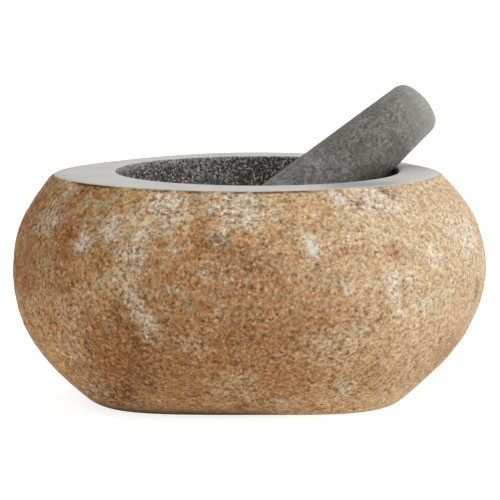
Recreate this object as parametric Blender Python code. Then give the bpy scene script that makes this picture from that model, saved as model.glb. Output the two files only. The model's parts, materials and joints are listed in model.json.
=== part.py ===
"""River-stone mortar with its loose pestle: two closed stone bodies in metres, +Z up.

The mortar stands on z = 0 with its front towards -Y.  The pestle rests in it: its ball end on the floor of
the bowl and its underside on the lip, one working gap clear of both.
"""

import math

import bmesh
import bpy
from mathutils import Vector

# ---------------------------------------------------------------- mortar: the boulder
STONE_HEIGHT = 0.1160             # ground foot to honed top
BELLY_HEIGHT = 0.0680             # where the boulder is widest
# Distances from the stone's middle line to its outside, towards +X, +Y, -X and -Y.
BELLY_REACH = (0.1206, 0.1150, 0.1213, 0.1150)
RIM_REACH = (0.0966, 0.0945, 0.1014, 0.0900)
FLANK_REACH = (0.0745, 0.0680, 0.0790, 0.0655)
# Squareness of each outline on its -Y and its +Y half: 2 is an ellipse, more is squarer.
BELLY_SQUARENESS = (2.1, 2.0)
RIM_SQUARENESS = (2.0, 2.0)
FLANK_SQUARENESS = (3.5, 2.3)
# Fullness of the profile on the +X and the -X side: above the belly and below it.
SHOULDER_FULLNESS = (2.1, 2.15)
FLANK_FULLNESS = (2.05, 2.4)
# Flats that the river wore near the top: azimuth and half width in degrees, depth as a share of the reach.
WORN_FLATS = ((141.0, 56.0, 0.125), (28.0, 34.0, 0.060), (292.0, 24.0, 0.018))
BELLY_WEAR = 0.35                 # share of those flats that is left at the belly
RIM_ARRIS = 0.0010                # eased edge between the honed top and the crust
FOOT_EASE_HEIGHT = 0.0040         # the ground foot turns up into the flank over this height

# ---------------------------------------------------------------- mortar: the bowl
BOWL_RADIUS = 0.0718              # one sphere, ground with the pestle
BOWL_CENTRE_RISE = 0.0050         # the sphere's centre above the honed top
BOWL_SHIFT = (0.0037, 0.0058)     # the bowl's axis from the stone's middle line, along X and Y
LIP_RADIUS = 0.0025               # round between the honed top and the bowl

# ---------------------------------------------------------------- pestle
PESTLE_LENGTH = 0.1450
BALL_RADIUS = 0.0235              # grinding end, a ball
PESTLE_TAPER = math.radians(4.5)  # half angle of the cone, narrowing to the grip
GRIP_DOME = 0.0014                # how far the grip's end bulges
GRIP_ROUND = 0.0076               # round between the cone and the grip's end
LEAN = math.radians(39.4)         # the pestle's axis above the horizontal
LEAN_AZIMUTH = math.radians(13.0)  # from +X towards +Y

# ---------------------------------------------------------------- fits and facets
WORKING_GAP = 0.0003              # left between stones that touch
MORTAR_TURN = 72                  # facets round the mortar
FOOT_RINGS = 4
FLANK_RINGS = 8
SHOULDER_RINGS = 8
LIP_RINGS = 4
BOWL_RINGS = 13
PESTLE_TURN = 48                  # facets round the pestle
BALL_RINGS = 12
SHAFT_RINGS = 10
GRIP_ROUND_RINGS = 8
GRIP_DOME_RINGS = 4
MERGE_DISTANCE = 0.000001
SLOPE_STEP = 0.01                 # share of the flank over which its slope at the foot is read

# ---------------------------------------------------------------- derived sizes
BOWL_CENTRE = Vector((BOWL_SHIFT[0], BOWL_SHIFT[1], STONE_HEIGHT + BOWL_CENTRE_RISE))
# The lip's round touches the honed top's plane and the bowl's sphere: its centre runs round this circle.
LIP_DROP = BOWL_CENTRE_RISE + LIP_RADIUS
LIP_CIRCLE = math.sqrt((BOWL_RADIUS + LIP_RADIUS) ** 2 - LIP_DROP ** 2)
LIP_MEETS_BOWL = math.asin(LIP_DROP / (BOWL_RADIUS + LIP_RADIUS))


def clear_scene():
    for item in list(bpy.data.objects):
        bpy.data.objects.remove(item, do_unlink=True)


def stone(name, colour, roughness):
    """A plain stone material."""
    made = bpy.data.materials.new(name)
    made.use_nodes = True
    shader = made.node_tree.nodes["Principled BSDF"]
    shader.inputs["Base Color"].default_value = (*colour, 1.0)
    shader.inputs["Roughness"].default_value = roughness
    shader.inputs["Metallic"].default_value = 0.0
    made.diffuse_color = (*colour, 1.0)
    return made


def add_stone(bm, name, material):
    """Turn a bmesh into a smooth-shaded object with its faces pointing out."""
    bmesh.ops.recalc_face_normals(bm, faces=bm.faces)
    mesh = bpy.data.meshes.new(name)
    bm.to_mesh(mesh)
    bm.free()
    mesh.shade_smooth()
    mesh.materials.append(material)
    made = bpy.data.objects.new(name, mesh)
    bpy.context.collection.objects.link(made)
    return made


def blend(low, high, share):
    return low + share * (high - low)


# ---------------------------------------------------------------- the boulder's outside
def outline(azimuth, reach, squareness, wear):
    """Distance from the middle line to the outside of the boulder at one azimuth."""
    across = math.cos(azimuth)
    along = math.sin(azimuth)
    side = reach[0] if across > 0 else reach[2]
    depth = reach[1] if along > 0 else reach[3]
    power = blend(squareness[0], squareness[1], 0.5 + 0.5 * along)
    distance = (abs(across / side) ** power + abs(along / depth) ** power) ** (-1.0 / power)
    for middle, half_width, loss in WORN_FLATS:
        off = (math.degrees(azimuth) - middle + 180.0) % 360.0 - 180.0
        if abs(off) < half_width:
            distance *= 1.0 - wear * loss * math.cos(0.5 * math.pi * off / half_width) ** 2
    return distance


def shoulder_point(azimuth, share):
    """Crust between the belly (share 0) and the honed top (share 1), as distance and height."""
    belly = outline(azimuth, BELLY_REACH, BELLY_SQUARENESS, BELLY_WEAR)
    rim = outline(azimuth, RIM_REACH, RIM_SQUARENESS, 1.0)
    fullness = blend(SHOULDER_FULLNESS[1], SHOULDER_FULLNESS[0], 0.5 + 0.5 * math.cos(azimuth))
    return blend(belly, rim, share ** fullness), blend(BELLY_HEIGHT, STONE_HEIGHT, share)


def flank_point(azimuth, share):
    """Crust between the belly (share 0) and the plane of the foot (share 1), as distance and height."""
    belly = outline(azimuth, BELLY_REACH, BELLY_SQUARENESS, BELLY_WEAR)
    flank = outline(azimuth, FLANK_REACH, FLANK_SQUARENESS, 0.0)
    fullness = blend(FLANK_FULLNESS[1], FLANK_FULLNESS[0], 0.5 + 0.5 * math.cos(azimuth))
    return blend(belly, flank, share ** fullness), blend(BELLY_HEIGHT, 0.0, share)


def foot_point(azimuth, share):
    """Round between the flank (share 0) and the ground foot (share 1), tangent to both."""
    start_share = 1.0 - FOOT_EASE_HEIGHT / BELLY_HEIGHT
    start, height = flank_point(azimuth, start_share)
    above, height_above = flank_point(azimuth, start_share - SLOPE_STEP)
    corner = start - height * (above - start) / (height_above - height)
    flat = corner - math.hypot(start - corner, height)
    keep = 1.0 - share
    distance = keep * keep * start + 2.0 * keep * share * corner + share * share * flat
    return distance, keep * keep * height


def arris_point(azimuth):
    """Outer edge of the honed top."""
    distance, height = shoulder_point(azimuth, 1.0)
    return distance - RIM_ARRIS, height


# ---------------------------------------------------------------- mortar
STONE_AXIS = (0.0, 0.0)


def place_ring(verts, axis_before, axis, point_at):
    """Put a ring's vertices where a rule gives their distance from the axis and their height."""
    for vert in verts:
        azimuth = math.atan2(vert.co.y - axis_before[1], vert.co.x - axis_before[0])
        distance, height = point_at(azimuth)
        vert.co.x = axis[0] + distance * math.cos(azimuth)
        vert.co.y = axis[1] + distance * math.sin(azimuth)
        vert.co.z = height


def grow_ring(bm, edges, axis_before, axis, point_at):
    """Extrude a ring of edges and put the new ring in its place."""
    grown = bmesh.ops.extrude_edge_only(bm, edges=edges)["geom"]
    verts = [item for item in grown if isinstance(item, bmesh.types.BMVert)]
    place_ring(verts, axis_before, axis, point_at)
    ring = set(verts)
    return [item for item in grown if isinstance(item, bmesh.types.BMEdge) and ring.issuperset(item.verts)]


def crust_rules():
    """Rules for the rings from above the ground foot up to the edge of the honed top."""
    rules = []
    for step in range(1, FOOT_RINGS):
        share = 1.0 - step / FOOT_RINGS
        rules.append(lambda azimuth, share=share: foot_point(azimuth, share))
    ease_share = 1.0 - FOOT_EASE_HEIGHT / BELLY_HEIGHT
    for step in range(FLANK_RINGS):
        share = ease_share * (1.0 - step / FLANK_RINGS)
        rules.append(lambda azimuth, share=share: flank_point(azimuth, share))
    arris_share = 1.0 - RIM_ARRIS / (STONE_HEIGHT - BELLY_HEIGHT)
    for step in range(SHOULDER_RINGS + 1):
        share = arris_share * math.sin(0.5 * math.pi * step / SHOULDER_RINGS)
        rules.append(lambda azimuth, share=share: shoulder_point(azimuth, share))
    return rules + [arris_point]


def bowl_rules():
    """Rules for the round rings from the top of the lip down into the bowl."""
    points = []
    for step in range(LIP_RINGS + 1):
        turn = (0.5 * math.pi - LIP_MEETS_BOWL) * step / LIP_RINGS
        distance = LIP_CIRCLE - LIP_RADIUS * math.sin(turn)
        points.append((distance, STONE_HEIGHT - LIP_RADIUS + LIP_RADIUS * math.cos(turn)))
    for step in range(1, BOWL_RINGS):
        fall = blend(LIP_MEETS_BOWL, 0.5 * math.pi, step / BOWL_RINGS)
        points.append((BOWL_RADIUS * math.cos(fall), BOWL_CENTRE.z - BOWL_RADIUS * math.sin(fall)))
    return [lambda azimuth, point=point: point for point in points]


def build_mortar(material):
    bm = bmesh.new()
    verts = bmesh.ops.create_circle(bm, segments=MORTAR_TURN, radius=1.0)["verts"]
    place_ring(verts, STONE_AXIS, STONE_AXIS, lambda azimuth: foot_point(azimuth, 1.0))
    foot = list(bm.edges)
    edges = foot
    for rule in crust_rules():
        edges = grow_ring(bm, edges, STONE_AXIS, STONE_AXIS, rule)
    axis = STONE_AXIS
    for rule in bowl_rules():
        edges = grow_ring(bm, edges, axis, BOWL_SHIFT, rule)
        axis = BOWL_SHIFT
    bmesh.ops.contextual_create(bm, geom=foot)
    bowl_floor = bmesh.ops.contextual_create(bm, geom=edges)["faces"]
    pole = bmesh.ops.poke(bm, faces=bowl_floor)["verts"][0]
    pole.co = BOWL_CENTRE - Vector((0.0, 0.0, BOWL_RADIUS))
    return add_stone(bm, "mortar", material)


# ---------------------------------------------------------------- pestle
def shaft_radius(station):
    """Radius of the cone that is tangent to the ball; station 0 is the ball's centre."""
    return (BALL_RADIUS - station * math.sin(PESTLE_TAPER)) / math.cos(PESTLE_TAPER)


def pestle_profile():
    """(radius, station) from the ball's pole to the grip's pole; station 0 is the ball's centre."""
    top = PESTLE_LENGTH - BALL_RADIUS
    points = []
    for step in range(BALL_RINGS + 1):
        angle = blend(-0.5 * math.pi, PESTLE_TAPER, step / BALL_RINGS)
        points.append((BALL_RADIUS * math.cos(angle), BALL_RADIUS * math.sin(angle)))
    # The grip's round is tangent to the cone, and its centre lies this far out and up the axis.
    round_station = top - GRIP_DOME - GRIP_ROUND
    round_radius = shaft_radius(round_station) - GRIP_ROUND / math.cos(PESTLE_TAPER)
    shaft_start = points[-1][1]
    shaft_end = round_station + GRIP_ROUND * math.sin(PESTLE_TAPER)
    for step in range(1, SHAFT_RINGS):
        station = blend(shaft_start, shaft_end, step / SHAFT_RINGS)
        points.append((shaft_radius(station), station))
    # The dome is part of a sphere about a point on the axis, and the round ends where it meets it.
    dome_slope = 2.0 * math.atan(GRIP_DOME / round_radius)
    for step in range(GRIP_ROUND_RINGS + 1):
        angle = blend(PESTLE_TAPER, 0.5 * math.pi - dome_slope, step / GRIP_ROUND_RINGS)
        radius = round_radius + GRIP_ROUND * math.cos(angle)
        points.append((radius, round_station + GRIP_ROUND * math.sin(angle)))
    edge_radius, edge_station = points[-1]
    for step in range(1, GRIP_DOME_RINGS + 1):
        share = 1.0 - step / GRIP_DOME_RINGS
        points.append((edge_radius * share, blend(top, edge_station, share * share)))
    return points


def pestle_seat():
    """Centre of the ball end: ball and bowl, and shaft and lip, stand one gap apart."""
    under = LEAN + PESTLE_TAPER
    along = Vector((math.cos(under), math.sin(under)))
    outward = Vector((math.sin(under), -math.cos(under)))
    lip = Vector((LIP_CIRCLE, -LIP_DROP))
    offset = outward.dot(lip) - LIP_RADIUS - WORKING_GAP - BALL_RADIUS
    room = BOWL_RADIUS - BALL_RADIUS - WORKING_GAP
    from_axis, from_centre = outward * offset - along * math.sqrt(room * room - offset * offset)
    x = BOWL_CENTRE.x + from_axis * math.cos(LEAN_AZIMUTH)
    y = BOWL_CENTRE.y + from_axis * math.sin(LEAN_AZIMUTH)
    return Vector((x, y, BOWL_CENTRE.z + from_centre))


def build_pestle(material):
    """The pestle is turned about Z with the ball's centre at its origin, then leant on the lip."""
    bm = bmesh.new()
    verts = [bm.verts.new((radius, 0.0, station)) for radius, station in pestle_profile()]
    edges = [bm.edges.new(pair) for pair in zip(verts, verts[1:])]
    bmesh.ops.spin(bm, geom=verts + edges, axis=(0.0, 0.0, 1.0), cent=(0.0, 0.0, 0.0),
                   angle=2.0 * math.pi, steps=PESTLE_TURN, use_merge=True)
    bmesh.ops.remove_doubles(bm, verts=bm.verts, dist=MERGE_DISTANCE)
    pestle = add_stone(bm, "pestle", material)
    pestle.rotation_euler = (0.0, 0.5 * math.pi - LEAN, LEAN_AZIMUTH)
    pestle.location = pestle_seat()
    return pestle


def main():
    clear_scene()
    build_mortar(stone("river_stone", (0.45, 0.31, 0.18), 0.85))
    build_pestle(stone("pestle_stone", (0.19, 0.19, 0.16), 0.65))


main()
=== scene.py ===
"""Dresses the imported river-stone mortar and its pestle.

The mortar gets a weathered crust, a honed rim and a ground bowl, and the pestle a fine-grained skin.
Laid out as an add-on, and run as a script.  Lengths are metres, +Z is up and the front is -Y.
"""

import json
import math

import bpy
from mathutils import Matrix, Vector, kdtree, noise


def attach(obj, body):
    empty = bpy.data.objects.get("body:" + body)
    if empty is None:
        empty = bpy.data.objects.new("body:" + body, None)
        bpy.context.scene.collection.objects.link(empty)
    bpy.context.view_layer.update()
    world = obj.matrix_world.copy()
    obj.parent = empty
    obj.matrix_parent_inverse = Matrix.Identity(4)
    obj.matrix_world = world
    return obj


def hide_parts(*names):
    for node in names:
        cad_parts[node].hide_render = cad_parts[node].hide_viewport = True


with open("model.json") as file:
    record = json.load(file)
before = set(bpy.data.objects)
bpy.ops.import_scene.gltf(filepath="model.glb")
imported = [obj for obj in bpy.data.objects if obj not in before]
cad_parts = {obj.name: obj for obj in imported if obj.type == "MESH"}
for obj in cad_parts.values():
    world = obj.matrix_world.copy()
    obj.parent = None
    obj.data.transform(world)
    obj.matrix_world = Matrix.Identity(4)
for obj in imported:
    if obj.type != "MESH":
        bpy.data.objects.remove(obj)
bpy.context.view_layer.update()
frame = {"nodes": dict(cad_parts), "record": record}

bl_info = {
    "name": "River-stone mortar and pestle",
    "version": (1, 0, 0),
    "blender": (4, 5, 0),
    "location": "View3D > Sidebar > Stoneware",
    "description": "Weathered river-stone mortar with a honed rim and a leaning stone pestle",
    "category": "Object",
}

# ---------------------------------------------------------------- places read from the frame
MORTAR = frame["nodes"]["mortar"]
PESTLE = frame["nodes"]["pestle"]
MOUNTS = {mount["name"]: Vector(mount["pos_m"]) for mount in frame["record"]["mounts"]}
FOOT_LEVEL = MOUNTS["base"].z
TOP_LEVEL = MOUNTS["rim"].z
SKIN = 0.0002                     # how near a level a vertex counts as on it
MERGE = 0.00001                   # loose corners this near are one vertex
FLAT_PAIR = math.radians(20.0)    # two triangles bent by less than this make one four-sided face
SKEW_PAIR = math.radians(60.0)    # and so do two whose face is out of square by less than this
SUBDIVISIONS = 2                  # levels of smoothing on both stones
LUMP_SIZE = 0.030                 # how broad the crust's lumps, dents and coarse grain are
DENT_SIZE = 0.008
ROUGH_SIZE = 0.0025
WANDER_SIZE = 0.025               # how broad the pestle's wanderings from true are
MORTAR_SHARP = math.radians(38.0)  # an edge bent by more than this stays sharp
PESTLE_SHARP = math.radians(60.0)
POLE_EDGES = 8                    # at least this many edges meet at each tip of the pestle


# ---------------------------------------------------------------- modelling helpers
def choose(piece):
    """Leaves only this piece selected and active."""
    if bpy.context.object and bpy.context.object.mode != "OBJECT":
        bpy.ops.object.mode_set(mode="OBJECT")
    bpy.ops.object.select_all(action="DESELECT")
    piece.select_set(True)
    bpy.context.view_layer.objects.active = piece


def clear_piece(name):
    """Takes away an earlier piece of this name, so that an operator can be run again."""
    earlier = bpy.data.objects.get(name)
    if earlier is not None:
        bpy.data.objects.remove(earlier, do_unlink=True)


def copy_node(node, name):
    """A new piece from a CAD node, its loose triangles merged and paired into four-sided faces."""
    clear_piece(name)
    piece = bpy.data.objects.new(name, node.data.copy())
    bpy.context.scene.collection.objects.link(piece)
    piece.data.name = name
    piece.data.materials.clear()
    choose(piece)
    if piece.data.has_custom_normals:
        bpy.ops.mesh.customdata_custom_splitnormals_clear()
    bpy.ops.object.mode_set(mode="EDIT")
    bpy.ops.mesh.select_all(action="SELECT")
    bpy.ops.mesh.remove_doubles(threshold=MERGE)
    bpy.ops.mesh.tris_convert_to_quads(face_threshold=FLAT_PAIR, shape_threshold=SKEW_PAIR)
    bpy.ops.mesh.normals_make_consistent(inside=False)
    bpy.ops.mesh.select_all(action="DESELECT")
    bpy.ops.object.mode_set(mode="OBJECT")
    return piece


def select_faces(piece, rule):
    """Selects the faces whose centre the rule accepts, and stays in edit mode."""
    choose(piece)
    bpy.ops.object.mode_set(mode="EDIT")
    bpy.ops.mesh.select_mode(type="FACE")
    bpy.ops.mesh.select_all(action="DESELECT")
    bpy.ops.object.mode_set(mode="OBJECT")
    for face in piece.data.polygons:
        face.select = bool(rule(face.center))
    if not any(face.select for face in piece.data.polygons):
        raise RuntimeError(f"{piece.name}: no face is where the tool expects it")
    bpy.ops.object.mode_set(mode="EDIT")


def select_edges(piece, rule):
    """Selects the edges whose two ends the rule accepts, and stays in edit mode."""
    choose(piece)
    bpy.ops.object.mode_set(mode="EDIT")
    bpy.ops.mesh.select_mode(type="EDGE")
    bpy.ops.mesh.select_all(action="DESELECT")
    bpy.ops.object.mode_set(mode="OBJECT")
    verts = piece.data.vertices
    for edge in piece.data.edges:
        first, second = (verts[index].co for index in edge.vertices)
        edge.select = bool(rule(first, second))
    if not any(edge.select for edge in piece.data.edges):
        raise RuntimeError(f"{piece.name}: no edge is where the tool expects it")
    bpy.ops.object.mode_set(mode="EDIT")


def apply_subdivision(piece):
    choose(piece)
    surface = piece.modifiers.new("Smooth", "SUBSURF")
    surface.levels = SUBDIVISIONS
    surface.render_levels = SUBDIVISIONS
    bpy.ops.object.modifier_apply(modifier=surface.name)


def apply_relief(piece, name, grain, strength, group):
    """Pushes the skin in and out along its normals by soft lumps this many metres across."""
    texture = bpy.data.textures.new(name, "CLOUDS")
    texture.noise_scale = grain
    choose(piece)
    relief = piece.modifiers.new(name, "DISPLACE")
    relief.texture = texture
    relief.texture_coords = "LOCAL"
    relief.strength = strength
    relief.mid_level = 0.5
    if group:
        relief.vertex_group = group
    bpy.ops.object.modifier_apply(modifier=relief.name)


def shade_smooth(piece, angle):
    choose(piece)
    bpy.ops.object.shade_smooth_by_angle(angle=angle)


def finish_piece(piece, node):
    """Ties a finished piece, which must sit at the origin, to its CAD node's body and hides the node."""
    if piece.matrix_world.translation.length > MERGE:
        raise RuntimeError(f"{piece.name} isn't at the origin")
    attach(piece, node)
    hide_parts(node)


# ---------------------------------------------------------------- material helpers
# A Mix node's sockets for colours, which share their names with those for numbers.
MIX_FACTOR = 0
MIX_FIRST = 6
MIX_SECOND = 7
MIX_RESULT = 2
WHITE = (1.0, 1.0, 1.0, 1.0)


class Wire:
    """One socket of a material that is being wired; sums on wires add the material's maths nodes."""

    def __init__(self, tree, socket):
        self.tree = tree
        self.socket = socket

    def node(self, kind, settings, sockets, output=0):
        """Any other node: its type, its settings, then values or wires for its sockets."""
        made = self.tree.nodes.new(kind)
        for name, value in settings.items():
            setattr(made, name, value)
        for name, value in sockets.items():
            if isinstance(value, Wire):
                self.tree.links.new(value.socket, made.inputs[name])
            else:
                made.inputs[name].default_value = value
        return Wire(self.tree, made.outputs[output])

    def math(self, operation, first, second):
        return self.node("ShaderNodeMath", {"operation": operation}, {0: first, 1: second})

    def __add__(self, other):
        return self.math("ADD", self, other)

    def __radd__(self, other):
        return self.math("ADD", other, self)

    def __sub__(self, other):
        return self.math("SUBTRACT", self, other)

    def __rsub__(self, other):
        return self.math("SUBTRACT", other, self)

    def __mul__(self, other):
        return self.math("MULTIPLY", self, other)

    def __rmul__(self, other):
        return self.math("MULTIPLY", other, self)

    def vector(self, operation, second, output="Vector"):
        return self.node("ShaderNodeVectorMath", {"operation": operation}, {0: self, 1: second}, output)

    def most(self, other):
        """The larger of the two at each place."""
        return self.math("MAXIMUM", self, other)

    def fade(self, start, end):
        """0 at start, 1 at end, with an eased way between."""
        settings = {"interpolation_type": "SMOOTHSTEP"}
        sockets = {"Value": self, "From Min": start, "From Max": end}
        return self.node("ShaderNodeMapRange", settings, sockets)

    def part(self, index):
        """One number of a place or a colour: 0, 1 or 2."""
        return self.node("ShaderNodeSeparateXYZ", {}, {0: self}, index)

    def noise(self, size, detail, roughness, output="Fac", seed=0.0):
        """Soft noise whose lumps are about this many metres across."""
        settings = {"noise_dimensions": "4D"}
        sockets = {"Vector": self, "Scale": 1.0 / size, "Detail": detail, "Roughness": roughness, "W": seed}
        return self.node("ShaderNodeTexNoise", settings, sockets, output)

    def cells(self, size, output="Distance"):
        """Mineral grains about this many metres across."""
        return self.node("ShaderNodeTexVoronoi", {}, {"Vector": self, "Scale": 1.0 / size}, output)

    def painted(self, kind):
        """How deeply a kind of patch was painted on the piece's vertices."""
        return self.node("ShaderNodeAttribute", {"attribute_name": kind}, {}, "Fac")

    def blend(self, first, second, kind="MIX"):
        """This wire as the factor between two colours."""
        settings = {"data_type": "RGBA", "blend_type": kind}
        sockets = {MIX_FACTOR: self, MIX_FIRST: first, MIX_SECOND: second}
        return self.node("ShaderNodeMix", settings, sockets, MIX_RESULT)

    def toned(self, factor):
        """A colour made lighter or darker."""
        return self.node("ShaderNodeVectorMath", {"operation": "SCALE"}, {0: self, "Scale": factor})


def new_material(name):
    """An empty material with its shader, and a wire that carries places in the row frame."""
    earlier = bpy.data.materials.get(name)
    if earlier is not None:
        bpy.data.materials.remove(earlier)
    material = bpy.data.materials.new(name)
    material.use_nodes = True
    tree = material.node_tree
    shader = tree.nodes["Principled BSDF"]
    places = tree.nodes.new("ShaderNodeTexCoord")
    return material, shader, Wire(tree, places.outputs["Object"])


def finish_material(shader, look, colour, roughness, skin, specular):
    """Joins the wires to the shader, the skin's height as a bump."""
    sockets = {"Strength": look.bump, "Distance": look.grain_depth, "Height": skin}
    bump = skin.node("ShaderNodeBump", {}, sockets)
    shader.inputs["Specular IOR Level"].default_value = specular
    for wire, name in ((colour, "Base Color"), (roughness, "Roughness"), (bump, "Normal")):
        wire.tree.links.new(wire.socket, shader.inputs[name])


# ---------------------------------------------------------------- the crust's mineral patches
# What it is, place across (+X) and height, half width, half height, turn in degrees, depth of colour.
FRONT_PATCHES = (
    ("ash", -0.091, 0.112, 0.005, 0.008, 0, 0.7),
    ("ash", -0.097, 0.102, 0.005, 0.005, 0, 0.5),
    ("ash", -0.083, 0.090, 0.005, 0.008, 0, 0.8),
    ("ash", -0.068, 0.096, 0.006, 0.006, 0, 0.9),
    ("ash", -0.062, 0.103, 0.008, 0.004, 0, 0.6),
    ("ash", -0.041, 0.107, 0.012, 0.012, 0, 0.9),
    ("ash", -0.052, 0.096, 0.006, 0.006, 0, 0.7),
    ("ash", -0.058, 0.086, 0.010, 0.006, 0, 0.7),
    ("ash", -0.062, 0.075, 0.009, 0.006, 0, 0.5),
    ("ash", -0.006, 0.107, 0.018, 0.009, 10, 0.9),
    ("ash", -0.015, 0.097, 0.006, 0.006, 0, 0.7),
    ("ash", 0.0295, 0.0895, 0.0050, 0.0090, -15, 0.8),
    ("chalk", 0.0300, 0.0905, 0.0027, 0.0056, -15, 0.85),
    ("chalk", -0.0676, 0.0965, 0.0026, 0.0030, 0, 0.3),
    ("chalk", -0.0824, 0.0895, 0.0026, 0.0036, 0, 0.35),
    ("chalk", 0.0440, 0.1115, 0.0040, 0.0030, 0, 0.6),
    ("chalk", 0.0480, 0.0695, 0.0026, 0.0026, 0, 0.6),
    ("ash", 0.0690, 0.1105, 0.0060, 0.0040, 0, 0.8),
    ("ash", 0.0520, 0.1145, 0.0110, 0.0030, 0, 0.8),
    ("ash", 0.0710, 0.0725, 0.0040, 0.0050, 0, 1.0),
    ("ash", 0.0790, 0.0715, 0.0045, 0.0035, 0, 1.0),
    ("ash", 0.0720, 0.0645, 0.0045, 0.0040, 0, 1.0),
    ("ash", 0.0858, 0.0585, 0.0050, 0.0050, 0, 0.9),
    ("ash", 0.0735, 0.0555, 0.0045, 0.0035, 0, 0.9),
    ("ash", 0.0490, 0.0455, 0.0130, 0.0080, 0, 0.5),
    ("ash", 0.0445, 0.1110, 0.006, 0.006, 0, 0.9),
    ("ash", 0.058, 0.110, 0.012, 0.008, 0, 0.8),
    ("ash", 0.070, 0.106, 0.008, 0.006, 0, 0.8),
    ("ash", 0.098, 0.094, 0.007, 0.004, 0, 0.9),
    ("ash", 0.090, 0.082, 0.004, 0.007, 0, 0.9),
    ("ash", 0.0485, 0.0695, 0.005, 0.004, 0, 0.7),
    ("ash", -0.0590, 0.0650, 0.0055, 0.0100, -33, 1.0),
    ("ash", -0.0505, 0.0520, 0.0055, 0.0110, -33, 1.0),
    ("ash", -0.090, 0.055, 0.012, 0.010, 0, 0.3),
    ("ash", -0.087, 0.037, 0.012, 0.010, 0, 0.3),
    ("ash", -0.078, 0.014, 0.009, 0.006, 0, 0.4),
    ("ash", -0.028, 0.042, 0.009, 0.006, 20, 0.5),
    ("ash", -0.006, 0.020, 0.014, 0.009, 0, 0.5),
    ("ash", 0.015, 0.009, 0.007, 0.004, 0, 0.6),
    ("ash", 0.038, 0.039, 0.019, 0.010, 10, 0.5),
    ("ash", 0.0465, 0.018, 0.008, 0.008, 0, 0.9),
    ("umber", -0.017, 0.092, 0.010, 0.006, 0, 0.55),
    ("umber", 0.002, 0.084, 0.016, 0.007, 20, 0.3),
    ("umber", 0.0330, 0.0800, 0.0022, 0.0022, 0, 0.7),
    ("umber", 0.0640, 0.0540, 0.0026, 0.0026, 0, 0.8),
    # This thin umber strip right under the honed edge on the left is painted shade, deepening the line
    # there.
    ("umber", -0.0740, 0.1150, 0.0110, 0.0016, 0, 0.8),
    ("umber", -0.0620, 0.0520, 0.0040, 0.0110, -33, 0.8),
    ("umber", -0.0540, 0.0400, 0.0050, 0.0100, -33, 0.7),
    ("umber", -0.055, 0.026, 0.010, 0.017, 0, 0.5),
    ("umber", -0.066, 0.011, 0.014, 0.009, 0, 1.0),
    ("umber", -0.080, 0.011, 0.009, 0.008, 0, 0.6),
    ("umber", 0.0535, 0.1080, 0.0026, 0.0026, 0, 0.8),
    ("umber", 0.0665, 0.1130, 0.005, 0.003, 0, 0.8),
    ("umber", -0.006, 0.010, 0.030, 0.004, 0, 0.5),
    ("rust", -0.080, 0.114, 0.007, 0.004, 0, 0.9),
    ("rust", -0.0915, 0.1035, 0.006, 0.007, 0, 0.9),
    ("rust", -0.091, 0.088, 0.009, 0.020, 0, 0.9),
    ("rust", -0.110, 0.096, 0.011, 0.020, 0, 0.7),
    ("rust", -0.113, 0.076, 0.010, 0.022, 0, 0.6),
    ("rust", -0.074, 0.083, 0.008, 0.010, 0, 0.6),
    ("rust", -0.070, 0.036, 0.014, 0.016, 0, 0.7),
    ("rust", 0.0715, 0.086, 0.004, 0.006, 0, 0.7),
    ("rust", 0.049, 0.087, 0.008, 0.005, 0, 0.6),
    ("rust", 0.032, 0.025, 0.011, 0.006, 0, 0.2),
    ("rust", 0.0625, 0.017, 0.012, 0.008, 0, 0.15),
    ("rust", -0.006, 0.084, 0.016, 0.008, 0, 0.4),
    ("rust", -0.0245, 0.104, 0.008, 0.014, 0, 0.5),
    ("loam", -0.005, 0.062, 0.060, 0.034, 0, 0.9),
    ("loam", -0.055, 0.030, 0.040, 0.030, 0, 0.8),
    ("loam", -0.105, 0.085, 0.030, 0.035, 0, 0.7),
)
BACK_PATCHES = (
    ("chalk", -0.034, 0.084, 0.0040, 0.0060, 25, 0.9),
    ("ash", -0.060, 0.092, 0.020, 0.012, 20, 0.8),
    ("ash", 0.030, 0.070, 0.024, 0.010, -15, 0.7),
    ("ash", 0.072, 0.034, 0.012, 0.010, 0, 0.7),
    ("umber", 0.010, 0.100, 0.026, 0.006, 10, 0.5),
    ("umber", -0.030, 0.040, 0.020, 0.009, 35, 0.5),
    ("rust", 0.080, 0.085, 0.018, 0.015, 0, 0.6),
    ("rust", -0.085, 0.050, 0.016, 0.020, 0, 0.6),
    ("loam", 0.020, 0.050, 0.060, 0.034, 0, 0.8),
)
LEFT_PATCHES = (
    ("ash", -0.050, 0.096, 0.014, 0.009, 15, 0.8),
    ("ash", 0.012, 0.072, 0.020, 0.009, -20, 0.7),
    ("ash", 0.055, 0.040, 0.012, 0.010, 0, 0.6),
    ("ash", -0.020, 0.030, 0.012, 0.007, 30, 0.6),
    ("chalk", 0.030, 0.088, 0.0030, 0.0045, -20, 0.8),
    ("umber", -0.005, 0.050, 0.016, 0.010, 25, 0.5),
    ("umber", 0.030, 0.010, 0.026, 0.007, 0, 0.8),
    ("rust", -0.030, 0.072, 0.020, 0.016, 0, 0.7),
    ("rust", 0.045, 0.098, 0.020, 0.010, 0, 0.6),
    ("loam", 0.020, 0.060, 0.050, 0.030, 0, 0.7),
)
RIGHT_PATCHES = (
    ("ash", -0.040, 0.088, 0.016, 0.010, -20, 0.9),
    ("ash", 0.010, 0.100, 0.020, 0.007, 10, 0.8),
    ("ash", 0.048, 0.066, 0.012, 0.014, 0, 0.8),
    ("ash", -0.014, 0.044, 0.018, 0.009, 25, 0.8),
    ("ash", 0.028, 0.022, 0.014, 0.008, 0, 0.7),
    ("chalk", -0.020, 0.074, 0.0035, 0.0050, 15, 0.8),
    ("umber", 0.026, 0.082, 0.006, 0.004, 0, 0.6),
    ("umber", -0.036, 0.060, 0.005, 0.006, 0, 0.5),
    ("rust", 0.008, 0.066, 0.022, 0.012, 15, 0.4),
    ("rust", -0.046, 0.030, 0.018, 0.012, 0, 0.4),
    ("loam", 0.030, 0.044, 0.036, 0.022, 0, 0.35),
    ("loam", -0.030, 0.020, 0.030, 0.014, 0, 0.2),
)
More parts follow.
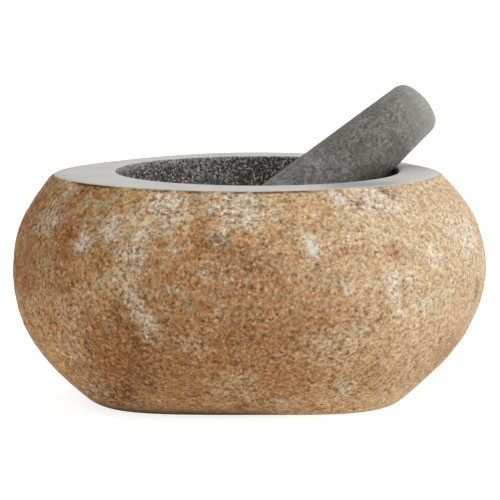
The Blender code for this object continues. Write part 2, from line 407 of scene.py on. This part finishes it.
# Each side's outward direction, the direction its patches are placed across, and the patches.
PATCH_SIDES = (
    (Vector((0.0, -1.0, 0.0)), Vector((1.0, 0.0, 0.0)), FRONT_PATCHES),
    (Vector((0.0, 1.0, 0.0)), Vector((1.0, 0.0, 0.0)), BACK_PATCHES),
    (Vector((-1.0, 0.0, 0.0)), Vector((0.0, 1.0, 0.0)), LEFT_PATCHES),
    (Vector((1.0, 0.0, 0.0)), Vector((0.0, 1.0, 0.0)), RIGHT_PATCHES),
)
REACH = 1.0                       # a ray starts this far out from the stone
PATCH_KINDS = ("ash", "umber", "rust", "loam", "chalk")
RAGGED_SIZE = 0.007               # how broad the wanderings of a patch's outline are
RAGGED_OCTAVES = 4                # and how many finer ones each carries
RAGGED_REACH = 0.006              # how far they go at most
RAGGED_SEED = 7                   # fixes them, since unseeded noise differs each time Blender starts
RAGGED_SHARE = 0.75               # and at most this share of the patch's half width
INWARD = 1.6                      # a patch goes this many half widths into the stone, round its curve
PATCH_CORE = 0.3                  # full depth inside this share of the ellipse
PATCH_RIM = 1.4                   # and none beyond this one


def eased(share):
    """0 below 0, 1 above 1, with an eased way between."""
    share = min(max(share, 0.0), 1.0)
    return share * share * (3.0 - 2.0 * share)


def paint_patches(piece):
    """Writes how deeply each kind of patch colours each vertex, as ellipses with ragged outlines."""
    verts = piece.data.vertices
    tree = kdtree.KDTree(len(verts))
    for vertex in verts:
        tree.insert(vertex.co, vertex.index)
    tree.balance()
    noise.seed_set(RAGGED_SEED)
    wanders = [noise.turbulence_vector(vertex.co / RAGGED_SIZE, RAGGED_OCTAVES, False) for vertex in verts]
    depths = {kind: [0.0] * len(verts) for kind in PATCH_KINDS}
    for outward, sideways, patches in PATCH_SIDES:
        for kind, across, height, half_width, half_height, turn, depth in patches:
            start = outward * REACH + sideways * across + Vector((0.0, 0.0, height))
            found, spot, _, _ = piece.ray_cast(start, -outward)
            if not found:
                raise RuntimeError(f"the {kind} patch at {across}, {height} misses the stone")
            cosine = math.cos(math.radians(turn))
            sine = math.sin(math.radians(turn))
            ragged = min(RAGGED_REACH, RAGGED_SHARE * half_width)
            radius = PATCH_RIM * max(INWARD * half_width, half_height) + ragged
            for place, index, _ in tree.find_range(spot, radius):
                offset = place + wanders[index] * ragged - spot
                aside = offset.dot(sideways)
                from_centre = math.hypot(
                    (aside * cosine - offset.z * sine) / half_width,
                    (aside * sine + offset.z * cosine) / half_height,
                    offset.dot(outward) / (INWARD * half_width),
                )
                level = depth * eased((PATCH_RIM - from_centre) / (PATCH_RIM - PATCH_CORE))
                depths[kind][index] = max(depths[kind][index], level)
    for kind, values in depths.items():
        painted = piece.data.attributes.new(kind, "FLOAT", "POINT")
        painted.data.foreach_set("value", values)


# ---------------------------------------------------------------- sizes and places in the materials
# How broad each mottle of the crust is, from its drifts down to its single grains.
CLOUD_SIZE = 0.030
MINERAL_SIZE = 0.0070
FLECK_SIZE = 0.0065
GRIT_SIZE = 0.0024
SAND_SIZE = 0.0020
GRAIN_SIZE = 0.0012
# Where each change on the crust starts and is full, across (+X) or in height.
# The paler right side is partly the stone's own colour and partly painted light from the key lamp.
PALE_SIDE_ACROSS = (0.020, 0.125)
PALE_SIDE_WANDER = 0.06            # a wander is how far the drifts shift such a change
MIXING_ACROSS = (-0.06, 0.10)
GREENED_HEIGHTS = (0.050, 0.085)
# Painted shade over the lower half and the left side, less of it right at the foot and low on the far left.
LOWER_SHADE_HEIGHTS = (0.092, 0.030)
LOWER_SHADE_WANDER = 0.03
LOWER_SHADE_FOOT_HEIGHTS = (0.002, 0.018)
LEFT_SHADE_ACROSS = (-0.045, -0.105)
SHADE_EASED_ACROSS = (-0.072, -0.100)
SHADE_EASED_HEIGHTS = (0.068, 0.046)
# Painted shade at the foot on the left, and in a thin band where the stone meets the floor.
FOOT_SHADE_HEIGHTS = (0.010, 0.001)
FOOT_SHADE_ACROSS = (0.07, -0.03)
CONTACT_SHADE_HEIGHTS = (0.0040, 0.0015)
CONTACT_SHADE_ACROSS = (0.02, -0.01)
# The thin line of painted shade under the honed edge: its lower and upper side, its two ends and the notched
# stretch.
LINE_LOWER = (TOP_LEVEL - 0.0018, TOP_LEVEL - 0.0012)
LINE_UPPER = (TOP_LEVEL - 0.0003, TOP_LEVEL - 0.0008)
LINE_WANDER = 0.0010
LINE_LEFT = (-0.090, -0.080)
LINE_RIGHT = (0.050, 0.040)
NOTCH_LEFT = (-0.090, -0.084)
NOTCH_RIGHT = (-0.063, -0.070)
ARRIS_HEIGHTS = (TOP_LEVEL - 0.0007, TOP_LEVEL - 0.0003)
# How broad each mottle of the ground stone is, and where its changes start and are full.
GROUND_DRIFT_SIZE = 0.020
SEPIA_SIZE = 0.016
DUST_SIZE = 0.0016
POWDER_SIZE = 0.0012
CRYSTAL_SIZE = 0.0011
BOWL_MIDDLE_ACROSS = (0.010, -0.020)
BOWL_SHADED_ACROSS = (-0.034, -0.050)
SEPIA_ACROSS = (-0.025, -0.050)
DUSTED_HEIGHTS = (TOP_LEVEL - 0.0060, TOP_LEVEL - 0.0015)
DUSTED_ACROSS = (-0.005, -0.045)
# Where the pestle's painted shadow lies on the honed top.
PESTLE_SHADOW_LEFT = (0.026, 0.048)
PESTLE_SHADOW_RIGHT = (0.088, 0.064)
PESTLE_SHADOW_FRONT = (-0.040, -0.060)
RIM_HEIGHTS = (TOP_LEVEL - 0.0009, TOP_LEVEL - 0.0002)
RIM_WANDER = 0.0004
FOOT_HEIGHTS = (FOOT_LEVEL + 0.004, FOOT_LEVEL + 0.002)
# The same for the pestle, whose paler end, partly worn and partly a painted highlight, is measured back from
# the grip's tip.
PESTLE_DRIFT_SIZE = 0.019
PESTLE_FLECK_SIZE = 0.0055
PESTLE_SPOT_SIZE = 0.0036
PESTLE_FINE_SIZE = 0.0018
PESTLE_SPECK_SIZE = 0.0010
LIT_END_ALONG = (-0.026, 0.0)
LIT_END_WANDER = 0.03
# How strongly each finish reflects.
CRUST_SPECULAR = 0.08
GROUND_SPECULAR = 0.25
PESTLE_SPECULAR = 0.40


# ---------------------------------------------------------------- the materials
def crust_material(look):
    """Weathered outside of the boulder: sandy grains, iron stains, pale ash patches and dark pits, with
    painted light on its right side and painted shade low down, on the left and under the honed edge.
    """
    material, shader, places = new_material("weathered crust")
    across = places.part(0)
    height = places.part(2)

    clouds = places.noise(CLOUD_SIZE, 4.0, 0.6)
    flecks = places.noise(FLECK_SIZE, 4.0, 0.65, seed=3.0)
    minerals = places.noise(MINERAL_SIZE, 5.0, 0.70, output="Color", seed=8.0)
    sand = places.noise(SAND_SIZE, 3.0, 0.70, seed=5.0)
    grit = places.noise(GRIT_SIZE, 2.0, 0.55, seed=11.0)
    grain = places.cells(GRAIN_SIZE, output="Color")
    grain_light = grain.part(0)
    grain_hue = grain.part(1)

    # The right side is cream, partly the stone's own paler colour and partly painted light from the key lamp
    # on that side; the other side is iron brown.
    pale_lit_side = (across + height * 0.35 + (clouds - 0.5) * PALE_SIDE_WANDER).fade(*PALE_SIDE_ACROSS)
    colour = (clouds * 0.6 + flecks * 0.4).fade(0.40, 0.60).blend(tuple(look.gold), tuple(look.tan))
    loam = places.painted("loam")
    colour = loam.blend(colour, tuple(look.loam))
    colour = pale_lit_side.blend(colour, tuple(look.cream))
    # Stains mix most on the shoulder away from the weather.
    mixing = (height * 0.6 - across).fade(*MIXING_ACROSS) * 0.75 + 0.25
    colour = (minerals.part(0).fade(0.49, 0.61) * mixing * 0.80).blend(colour, tuple(look.rust))
    shoulder = height.fade(*GREENED_HEIGHTS) * 0.45 + 0.30
    greened = minerals.part(1).fade(0.49, 0.60) * mixing * shoulder
    colour = greened.blend(colour, tuple(look.moss))
    rust = places.painted("rust") * flecks.fade(0.32, 0.54)
    colour = rust.blend(colour, tuple(look.rust))

    # Single grains: each is a shade off its neighbours, and some are rusty or pale.
    rusty = grain_hue.fade(0.32, 0.0) * 0.45
    colour = rusty.blend(colour, tuple(look.gold))
    pale = grain_hue.fade(0.70, 1.0) * 0.35
    colour = pale.blend(colour, tuple(look.crystal))
    stray_ash = minerals.part(2).fade(0.52, 0.68) * mixing * 0.55
    speckle = (grit * 0.4 + sand * 0.6).fade(0.40, 0.58)
    ash = places.painted("ash").most(stray_ash) * (speckle * 0.80 + 0.10)
    colour = ash.blend(colour, tuple(look.ash))

    # Painted shade darkens the lower half and the left side, away from the key lamp, and eases off again at
    # the foot and low on the far left.
    lower_left_shade = (height + (clouds - 0.5) * LOWER_SHADE_WANDER).fade(*LOWER_SHADE_HEIGHTS)
    lower_left_shade = lower_left_shade * height.fade(*LOWER_SHADE_FOOT_HEIGHTS)
    shade_eased = across.fade(*SHADE_EASED_ACROSS) * height.fade(*SHADE_EASED_HEIGHTS) * 0.7
    lower_left_shade = lower_left_shade.most(across.fade(*LEFT_SHADE_ACROSS) * 0.6) * (1.0 - pale_lit_side * 0.55) * (1.0 - shade_eased)
    colour = lower_left_shade.blend(colour, tuple(look.low_shade), "MULTIPLY")
    umber = places.painted("umber") * flecks.fade(0.28, 0.48) * (sand.fade(0.60, 0.44) * 0.65 + 0.35)
    colour = umber.blend(colour, tuple(look.umber))
    contrast = lower_left_shade * 0.9 + 2.2 - pale_lit_side * 0.7
    colour = colour.toned(grain_light * 0.50 + (sand - 0.5) * contrast + 0.76)
    # The darkest grains are brown.
    colour = (sand.fade(0.45, 0.33) * (0.55 - pale_lit_side * 0.25)).blend(colour, tuple(look.pit))
    pits = grit.fade(0.37, 0.29)
    colour = (pits * 0.6).blend(colour, tuple(look.pit))
    chalk = places.painted("chalk") * (sand.fade(0.34, 0.54) * 0.75 + 0.20)
    colour = chalk.blend(colour, tuple(look.chalk))

    # Painted shade: the foot is darkest on the left, a dark band runs along the bottom where the stone meets
    # the floor, and a thin broken line runs under the honed edge.
    low_shade = height.fade(*FOOT_SHADE_HEIGHTS) * across.fade(*FOOT_SHADE_ACROSS)
    colour = (low_shade * 0.8).blend(colour, tuple(look.umber))
    contact_shade = height.fade(*CONTACT_SHADE_HEIGHTS) * across.fade(*CONTACT_SHADE_ACROSS)
    colour = (contact_shade * 0.85).blend(colour, tuple(look.edge))
    # The line under the honed edge is painted shade, unbroken on the left and gone on the right, towards the
    # key lamp.
    level = height + (flecks - 0.5) * LINE_WANDER
    line = level.fade(*LINE_LOWER) * level.fade(*LINE_UPPER)
    notched = across.fade(*NOTCH_LEFT) * across.fade(*NOTCH_RIGHT)
    broken = ((clouds * 0.5 + flecks * 0.5).fade(0.42, 0.54) * across.fade(*LINE_LEFT)).most(notched)
    line = line * across.fade(*LINE_RIGHT) * broken
    colour = (line * 0.85).blend(colour, tuple(look.edge))
    colour = height.fade(*ARRIS_HEIGHTS).blend(colour, tuple(look.arris))

    skin = sand * 0.8 + grain_light * 0.30 - pits * 0.5
    roughness = sand * 0.12 + 0.82
    finish_material(shader, look, colour, roughness, skin, CRUST_SPECULAR)
    return material


def ground_material(look):
    """Where the stone is worked: pale and satin on the rim and foot, dark and speckled in the bowl, with the
    pestle's shadow painted on the rim.
    """
    material, shader, places = new_material("ground stone")
    across = places.part(0)
    height = places.part(2)
    powder = places.noise(POWDER_SIZE, 3.0, 0.6)
    drift = places.noise(GROUND_DRIFT_SIZE, 3.0, 0.5, seed=2.0)

    # The bowl: charcoal and slate grains, browner drifts, white crystals and sparks.
    middle = across.fade(*BOWL_MIDDLE_ACROSS) * 0.05
    pick = places.cells(CRYSTAL_SIZE, output="Color")
    spark = places.noise(CRYSTAL_SIZE, 2.0, 0.5, seed=13.0).fade(0.58, 0.68)
    crystals = places.cells(CRYSTAL_SIZE).fade(0.56, 0.24) * pick.part(0).fade(0.45, 0.75)
    crystals = (crystals * (pick.part(1) * 0.7 + 0.1)).most(spark * (0.72 + middle * 4.0))
    dust = places.noise(DUST_SIZE, 3.0, 0.75, seed=7.0)
    patchy = places.noise(SEPIA_SIZE, 3.0, 0.6, seed=9.0)
    shaded = across.fade(*BOWL_SHADED_ACROSS) * 0.035
    bowl = (dust + middle - shaded).fade(0.47, 0.66).blend(tuple(look.charcoal), tuple(look.slate))
    browned = across.fade(*SEPIA_ACROSS) * patchy.fade(0.36, 0.56) * 0.8
    brown = (patchy.fade(0.50, 0.62) * 0.4).most(browned)
    bowl = brown.blend(bowl, tuple(look.sepia))
    bowl = crystals.blend(bowl, tuple(look.crystal))
    # Stone dust lies on the top of the bowl's wall at its back left.
    dusted = height.fade(*DUSTED_HEIGHTS) * across.fade(*DUSTED_ACROSS)
    bowl = (dusted * dust.fade(0.38, 0.58) * 0.40).blend(bowl, tuple(look.honed_shade))

    honed = drift.fade(0.35, 0.70).blend(tuple(look.honed), tuple(look.honed_shade))
    # Painted shadow of the pestle: the honed top is a darker, cooler grey in front of it.
    painted_pestle_shadow = across.fade(*PESTLE_SHADOW_LEFT) * across.fade(*PESTLE_SHADOW_RIGHT) * places.part(1).fade(*PESTLE_SHADOW_FRONT)
    honed = (painted_pestle_shadow * 0.85).blend(honed, tuple(look.pestle_shadow))
    honed = honed.toned(powder * 0.16 + 0.92)

    rim = (height + (dust - 0.5) * RIM_WANDER).fade(*RIM_HEIGHTS)
    foot = height.fade(*FOOT_HEIGHTS)
    worked = rim.most(foot)
    colour = worked.blend(bowl, honed)
    skin = (dust + crystals * 0.3) * (1.0 - worked) + powder * 0.15
    roughness = (1.0 - worked) * 0.30 + 0.50
    finish_material(shader, look, colour, roughness, skin, GROUND_SPECULAR)
    return material


def pestle_material(look, grip_end, axis):
    """Fine-grained olive-grey stone, a little browner in drifts and paler towards the grip end, partly from
    handling and partly a painted highlight.
    """
    material, shader, places = new_material("pestle stone")
    from_grip = places.vector("SUBTRACT", tuple(grip_end))
    along = from_grip.vector("DOT_PRODUCT", tuple(axis), output="Value")
    speck = places.cells(PESTLE_SPECK_SIZE, output="Color").part(0)
    fine = places.noise(PESTLE_FINE_SIZE, 4.0, 0.72)
    flecks = places.noise(PESTLE_FLECK_SIZE, 4.0, 0.65, seed=6.0)
    drift = places.noise(PESTLE_DRIFT_SIZE, 4.0, 0.6, seed=4.0)
    grit = places.noise(PESTLE_SPOT_SIZE, 2.0, 0.5, seed=12.0)
    colour = (fine * 0.55 + flecks * 0.45).fade(0.38, 0.60).blend(tuple(look.dark), tuple(look.light))
    colour = ((drift * 0.6 + flecks * 0.4).fade(0.47, 0.59) * 0.75).blend(colour, tuple(look.olive))
    colour = (grit.fade(0.38, 0.28) * 0.6).blend(colour, tuple(look.spot))
    colour = (grit.fade(0.64, 0.74) * 0.5).blend(colour, tuple(look.worn_and_lit))
    colour = colour.toned(speck * 0.55 + fine * 0.62 + 0.395)
    # Painted highlight: the grip's rounded end is made paler, together with its wear from handling.
    worn_and_lit = (along + (drift - 0.5) * LIT_END_WANDER).fade(*LIT_END_ALONG) * 0.65
    colour = worn_and_lit.blend(colour, tuple(look.worn_and_lit))
    roughness = fine * 0.10 + 0.48
    finish_material(shader, look, colour, roughness, fine + speck * 0.4, PESTLE_SPECULAR)
    return material


# ---------------------------------------------------------------- what a user can change
def colour_property(name, description, default):
    return bpy.props.FloatVectorProperty(
        name=name, description=description, default=(*default, 1.0), size=4, min=0.0, max=1.0,
        subtype="COLOR",
    )


def length_property(name, description, default):
    return bpy.props.FloatProperty(
        name=name, description=description, default=default, min=0.0, precision=5, unit="LENGTH"
    )


def strength_property(name, description, default):
    return bpy.props.FloatProperty(name=name, description=description, default=default, min=0.0)


def relief_property(description, default):
    return bpy.props.FloatProperty(
        name="Relief", description=description, default=default, min=0.0, max=1.0, subtype="FACTOR"
    )


class CrustLook(bpy.types.PropertyGroup):
    tan: colour_property("Tan", "Ground colour of the crust", (0.46, 0.29, 0.14))
    gold: colour_property("Gold", "Warmer drifts and grains in the crust", (0.40, 0.22, 0.080))
    loam: colour_property("Loam", "Brown drifts in the crust", (0.335, 0.180, 0.080))
    # Cream: the paler right side, partly its own colour and partly painted light.
    cream: colour_property("Cream", "Bleached side of the boulder", (0.51, 0.385, 0.255))
    rust: colour_property("Rust", "Iron stains", (0.29, 0.110, 0.034))
    moss: colour_property("Moss", "Greyer, greener stains", (0.31, 0.275, 0.190))
    # Umber also colours the painted shade at the foot.
    umber: colour_property("Umber", "Dark stains", (0.11, 0.045, 0.016))
    # Edge is the colour of painted shade: the line under the honed edge and the band along the bottom.
    edge: colour_property("Edge", "Dark line under the honed edge", (0.050, 0.032, 0.020))
    ash: colour_property("Ash", "Pale mineral patches", (0.55, 0.51, 0.42))
    chalk: colour_property("Chalk", "Small white chips", (0.61, 0.60, 0.565))
    # This colour darkens the lower half and the left side as painted shade.
    low_shade: colour_property("Silt", "Brown glaze over the lower half", (0.70, 0.61, 0.51))
    arris: colour_property("Arris", "Eased edge of the honed top", (0.46, 0.45, 0.42))
    pit: colour_property("Pit", "Dark pits between grains", (0.10, 0.047, 0.018))
    crystal: colour_property("Crystal", "Single pale grains", (0.62, 0.50, 0.36))
    bump: relief_property("Strength of the grain's relief", 0.7)
    grain_depth: length_property("Grain depth", "Depth of the finest relief", 0.0006)
    lump: length_property("Lumps", "Rise and fall of the broad lumps", 0.0016)
    dent: length_property("Dents", "Depth of the dents", 0.0007)
    rough: length_property("Roughness", "Depth of the coarse grain that the mesh itself carries", 0.0003)


class GroundLook(bpy.types.PropertyGroup):
    honed: colour_property("Honed", "Honed rim and foot", (0.52, 0.51, 0.48))
    honed_shade: colour_property("Honed shade", "Faint drifts in the honed rim", (0.47, 0.47, 0.455))
    # The colour of the pestle's shadow painted on the honed rim.
    pestle_shadow: colour_property("Cool shade", "Cooler zone of the honed rim", (0.27, 0.285, 0.30))
    charcoal: colour_property("Charcoal", "Dark ground of the bowl", (0.028, 0.026, 0.024))
    slate: colour_property("Slate", "Lighter grains of the bowl", (0.22, 0.215, 0.20))
    sepia: colour_property("Sepia", "Browner drifts of the bowl", (0.052, 0.035, 0.024))
    crystal: colour_property("Crystal", "White grains in the bowl", (0.62, 0.60, 0.56))
    bump: relief_property("Strength of the ground surface's relief", 0.35)
    grain_depth: length_property("Grain depth", "Depth of the finest relief", 0.0003)


class PestleLook(bpy.types.PropertyGroup):
    dark: colour_property("Dark grain", "Darker grains of the pestle", (0.082, 0.081, 0.070))
    light: colour_property("Light grain", "Lighter grains of the pestle", (0.24, 0.24, 0.215))
    olive: colour_property("Olive", "Browner drifts in the pestle", (0.100, 0.090, 0.060))
    spot: colour_property("Spot", "Small dark spots in the pestle", (0.045, 0.040, 0.030))
    # Paler grip end: partly worn, partly a painted highlight.
    worn_and_lit: colour_property("Handled", "Paler end that the hand holds", (0.30, 0.30, 0.27))
    bump: relief_property("Strength of the grain's relief", 0.4)
    grain_depth: length_property("Grain depth", "Depth of the finest relief", 0.0003)
    unevenness: length_property("Unevenness", "How far the turned shape wanders from true", 0.0003)


class StageLook(bpy.types.PropertyGroup):
    floor: colour_property("Floor", "Pale floor", (0.45, 0.45, 0.45))
    floor_glow: strength_property("Floor glow", "Light that the floor gives off, as a light table", 0.82)
    floor_size: length_property("Floor size", "Side of the square floor", 14.0)
    sky: strength_property("Surrounding light", "Strength of the even light from all round", 0.55)
    key_power: bpy.props.FloatProperty(
        name="Key light", description="Power of the large soft light on the right", default=26.0,
        min=0.0, subtype="POWER",
    )
    ceiling: strength_property("Ceiling light", "Strength of the broad even light overhead", 1.35)
    camera_distance: length_property("Camera distance", "From the stone's middle to the camera", 2.4859)
    camera_height: length_property("Camera height", "Above the floor", 0.3817)
    aim_height: length_property("Aim height", "Height on the stone that the camera looks at", 0.0756)
    lens: bpy.props.FloatProperty(
        name="Focal length", description="Long lens, as for a product view", default=354.3, min=1.0,
        subtype="DISTANCE_CAMERA",
    )


class MolcajeteSettings(bpy.types.PropertyGroup):
    crust: bpy.props.PointerProperty(name="Crust", description="Weathered outside", type=CrustLook)
    ground: bpy.props.PointerProperty(name="Ground", description="Rim, foot and bowl", type=GroundLook)
    pestle: bpy.props.PointerProperty(name="Pestle", description="The pestle's stone", type=PestleLook)
    stage: bpy.props.PointerProperty(name="Stage", description="Floor, light and camera", type=StageLook)


# ---------------------------------------------------------------- the pieces
BOWL_REACH = 0.080                # further out than the bowl's lip and nearer than the honed outline
CRUST_FOOT = 0.016                # the crust's fine mesh starts above this
ARRIS_DROP = 0.0010               # eased edge between the honed top and the crust
# The honed top's two outlines, the crust's top ring and the foot's outline stay crisp.
CRISP_LEVELS = (TOP_LEVEL, TOP_LEVEL - ARRIS_DROP, FOOT_LEVEL)


def stays_crisp(first, second):
    """True for an edge whose two ends lie on one of the crisp levels."""
    for level in CRISP_LEVELS:
        if abs(first.z - level) < SKIN and abs(second.z - level) < SKIN:
            return True
    return False


def lies_underfoot(centre):
    return centre.z < FOOT_LEVEL + MERGE


def lies_in_bowl(centre):
    """True for the faces of the lip and the bowl, which lie within the honed outline."""
    return math.hypot(centre.x, centre.y) < BOWL_REACH and centre.z > CRUST_FOOT


def takes_fine_crust(centre):
    return CRUST_FOOT < centre.z < TOP_LEVEL - ARRIS_DROP and not lies_in_bowl(centre)


def takes_grinding(centre):
    on_top = centre.z > TOP_LEVEL - SKIN
    under_foot = centre.z < FOOT_LEVEL + SKIN
    return on_top or under_foot or lies_in_bowl(centre)


def mortar_mesh():
    """The CAD boulder with its foot as one face and its crisp edges creased."""
    piece = copy_node(MORTAR, "mortar_stone")
    select_faces(piece, lies_underfoot)
    bpy.ops.mesh.dissolve_faces()
    select_edges(piece, stays_crisp)
    bpy.ops.transform.edge_crease(value=1.0)
    return piece


class STONE_OT_mortar(bpy.types.Operator):
    """Model the mortar: the CAD boulder with a weathered crust, a honed rim and a ground bowl"""

    bl_idname = "stoneware.mortar"
    bl_label = "Mortar"

    def execute(self, context):
        look = context.scene.molcajete
        piece = mortar_mesh()
        apply_subdivision(piece)
        select_faces(piece, takes_fine_crust)
        bpy.ops.mesh.subdivide(number_cuts=1, smoothness=1.0)
        select_faces(piece, takes_fine_crust)
        piece.vertex_groups.new(name="crust")
        bpy.ops.object.vertex_group_assign()
        bpy.ops.object.mode_set(mode="OBJECT")
        apply_relief(piece, "lumps", LUMP_SIZE, look.crust.lump, "crust")
        apply_relief(piece, "dents", DENT_SIZE, look.crust.dent, "crust")
        apply_relief(piece, "coarse grain", ROUGH_SIZE, look.crust.rough, "crust")
        context.view_layer.update()
        paint_patches(piece)
        piece.data.materials.append(crust_material(look.crust))
        piece.data.materials.append(ground_material(look.ground))
        select_faces(piece, takes_grinding)
        piece.active_material_index = 1
        bpy.ops.object.material_slot_assign()
        bpy.ops.object.mode_set(mode="OBJECT")
        shade_smooth(piece, MORTAR_SHARP)
        finish_piece(piece, "mortar")
        return {"FINISHED"}


def pestle_ends(piece):
    """The grip's tip and the grinding ball's tip, where the most edges of the turned shape meet."""
    counts = [0] * len(piece.data.vertices)
    for edge in piece.data.edges:
        for index in edge.vertices:
            counts[index] += 1
    poles = sorted(range(len(counts)), key=lambda index: counts[index])[-2:]
    tips = sorted((piece.data.vertices[index].co.copy() for index in poles), key=lambda tip: tip.z)
    if counts[poles[0]] < POLE_EDGES:
        raise RuntimeError("the pestle's two tips weren't found")
    return tips[1], tips[0]


class STONE_OT_pestle(bpy.types.Operator):
    """Model the pestle: a tapered stone with a ball end, slightly uneven as ground by hand"""

    bl_idname = "stoneware.pestle"
    bl_label = "Pestle"

    def execute(self, context):
        look = context.scene.molcajete.pestle
        piece = copy_node(PESTLE, "pestle_stone")
        grip_tip, ball_tip = pestle_ends(piece)
        axis = (grip_tip - ball_tip).normalized()
        apply_subdivision(piece)
        apply_relief(piece, "wander", WANDER_SIZE, look.unevenness, "")
        piece.data.materials.append(pestle_material(look, grip_tip, axis))
        shade_smooth(piece, PESTLE_SHARP)
        finish_piece(piece, "pestle")
        return {"FINISHED"}


# ---------------------------------------------------------------- the stage
KEY_PLACE = Vector((2.0, -0.9, 0.9))  # the large soft light, right and in front of the stones
KEY_AIM = Vector((0.0, 0.0, 0.06))
KEY_SIZE = 1.6                    # its side
CEILING_PLACE = Vector((0.0, 0.0, 2.0))
CEILING_SPREAD = math.radians(80.0)  # how much of the sky the broad light fills
CEILING_TILT = math.radians(12.0)  # towards +X
FLOOR_ROUGHNESS = 0.9
FLOOR_SPECULAR = 0.1
VIEW_DEPTH = 50.0                 # the camera sees this far, past the floor's far edge


def turned_to(place, aim):
    """The turn that points a light or a camera from its place to its aim."""
    return (aim - place).to_track_quat("-Z", "Y").to_euler()


def add_light(name, kind, place, power):
    """A new light of this kind, which points straight down."""
    clear_piece(name)
    bpy.ops.object.light_add(type=kind, location=place)
    light = bpy.context.object
    light.name = name
    light.data.energy = power
    return light


def floor_material(look):
    material, shader, _ = new_material("pale floor")
    shader.inputs["Base Color"].default_value = tuple(look.floor)
    shader.inputs["Roughness"].default_value = FLOOR_ROUGHNESS
    shader.inputs["Specular IOR Level"].default_value = FLOOR_SPECULAR
    shader.inputs["Emission Color"].default_value = WHITE
    shader.inputs["Emission Strength"].default_value = look.floor_glow
    return material


class STONE_OT_stage(bpy.types.Operator):
    """Add the pale floor, the soft studio light and the camera"""

    bl_idname = "stoneware.stage"
    bl_label = "Stage"

    def execute(self, context):
        look = context.scene.molcajete.stage
        clear_piece("floor")
        bpy.ops.mesh.primitive_plane_add(size=look.floor_size, location=(0.0, 0.0, FOOT_LEVEL))
        floor = context.object
        floor.name = "floor"
        floor.data.materials.append(floor_material(look))
        key = add_light("key light", "AREA", KEY_PLACE, look.key_power)
        key.data.shape = "SQUARE"
        key.data.size = KEY_SIZE
        key.rotation_euler = turned_to(KEY_PLACE, KEY_AIM)
        ceiling = add_light("ceiling light", "SUN", CEILING_PLACE, look.ceiling)
        ceiling.data.angle = CEILING_SPREAD
        ceiling.rotation_euler = (0.0, CEILING_TILT, 0.0)
        world = bpy.data.worlds.new("studio")
        world.use_nodes = True
        sky = world.node_tree.nodes["Background"]
        sky.inputs["Color"].default_value = WHITE
        sky.inputs["Strength"].default_value = look.sky
        context.scene.world = world
        clear_piece("camera")
        bpy.ops.object.camera_add(location=(0.0, -look.camera_distance, look.camera_height))
        camera = context.object
        camera.name = "camera"
        camera.data.lens = look.lens
        camera.data.clip_end = VIEW_DEPTH
        camera.rotation_euler = turned_to(camera.location, Vector((0.0, 0.0, look.aim_height)))
        context.scene.camera = camera
        context.scene.view_settings.view_transform = "Standard"
        return {"FINISHED"}


class STONE_PT_panel(bpy.types.Panel):
    """The tools and their sizes and colours, in the 3D view's sidebar"""

    bl_idname = "STONE_PT_panel"
    bl_label = "Mortar and pestle"
    bl_space_type = "VIEW_3D"
    bl_region_type = "UI"
    bl_category = "Stoneware"

    def draw(self, context):
        settings = context.scene.molcajete
        for tool, look in (
            (STONE_OT_mortar, (settings.crust, settings.ground)),
            (STONE_OT_pestle, (settings.pestle,)),
            (STONE_OT_stage, (settings.stage,)),
        ):
            box = self.layout.box()
            box.operator(tool.bl_idname)
            for group in look:
                for name in group.bl_rna.properties.keys():
                    if name not in ("rna_type", "name"):
                        box.prop(group, name)


CLASSES = (
    CrustLook,
    GroundLook,
    PestleLook,
    StageLook,
    MolcajeteSettings,
    STONE_OT_mortar,
    STONE_OT_pestle,
    STONE_OT_stage,
    STONE_PT_panel,
)


def register():
    for each in CLASSES:
        bpy.utils.register_class(each)
    bpy.types.Scene.molcajete = bpy.props.PointerProperty(
        name="Mortar and pestle", description="Finishes of the stones, and the stage", type=MolcajeteSettings
    )


def unregister():
    del bpy.types.Scene.molcajete
    for each in reversed(CLASSES):
        bpy.utils.unregister_class(each)


def main():
    register()
    bpy.ops.stoneware.stage()
    bpy.ops.stoneware.mortar()
    bpy.ops.stoneware.pestle()


if __name__ == "__main__":
    main()
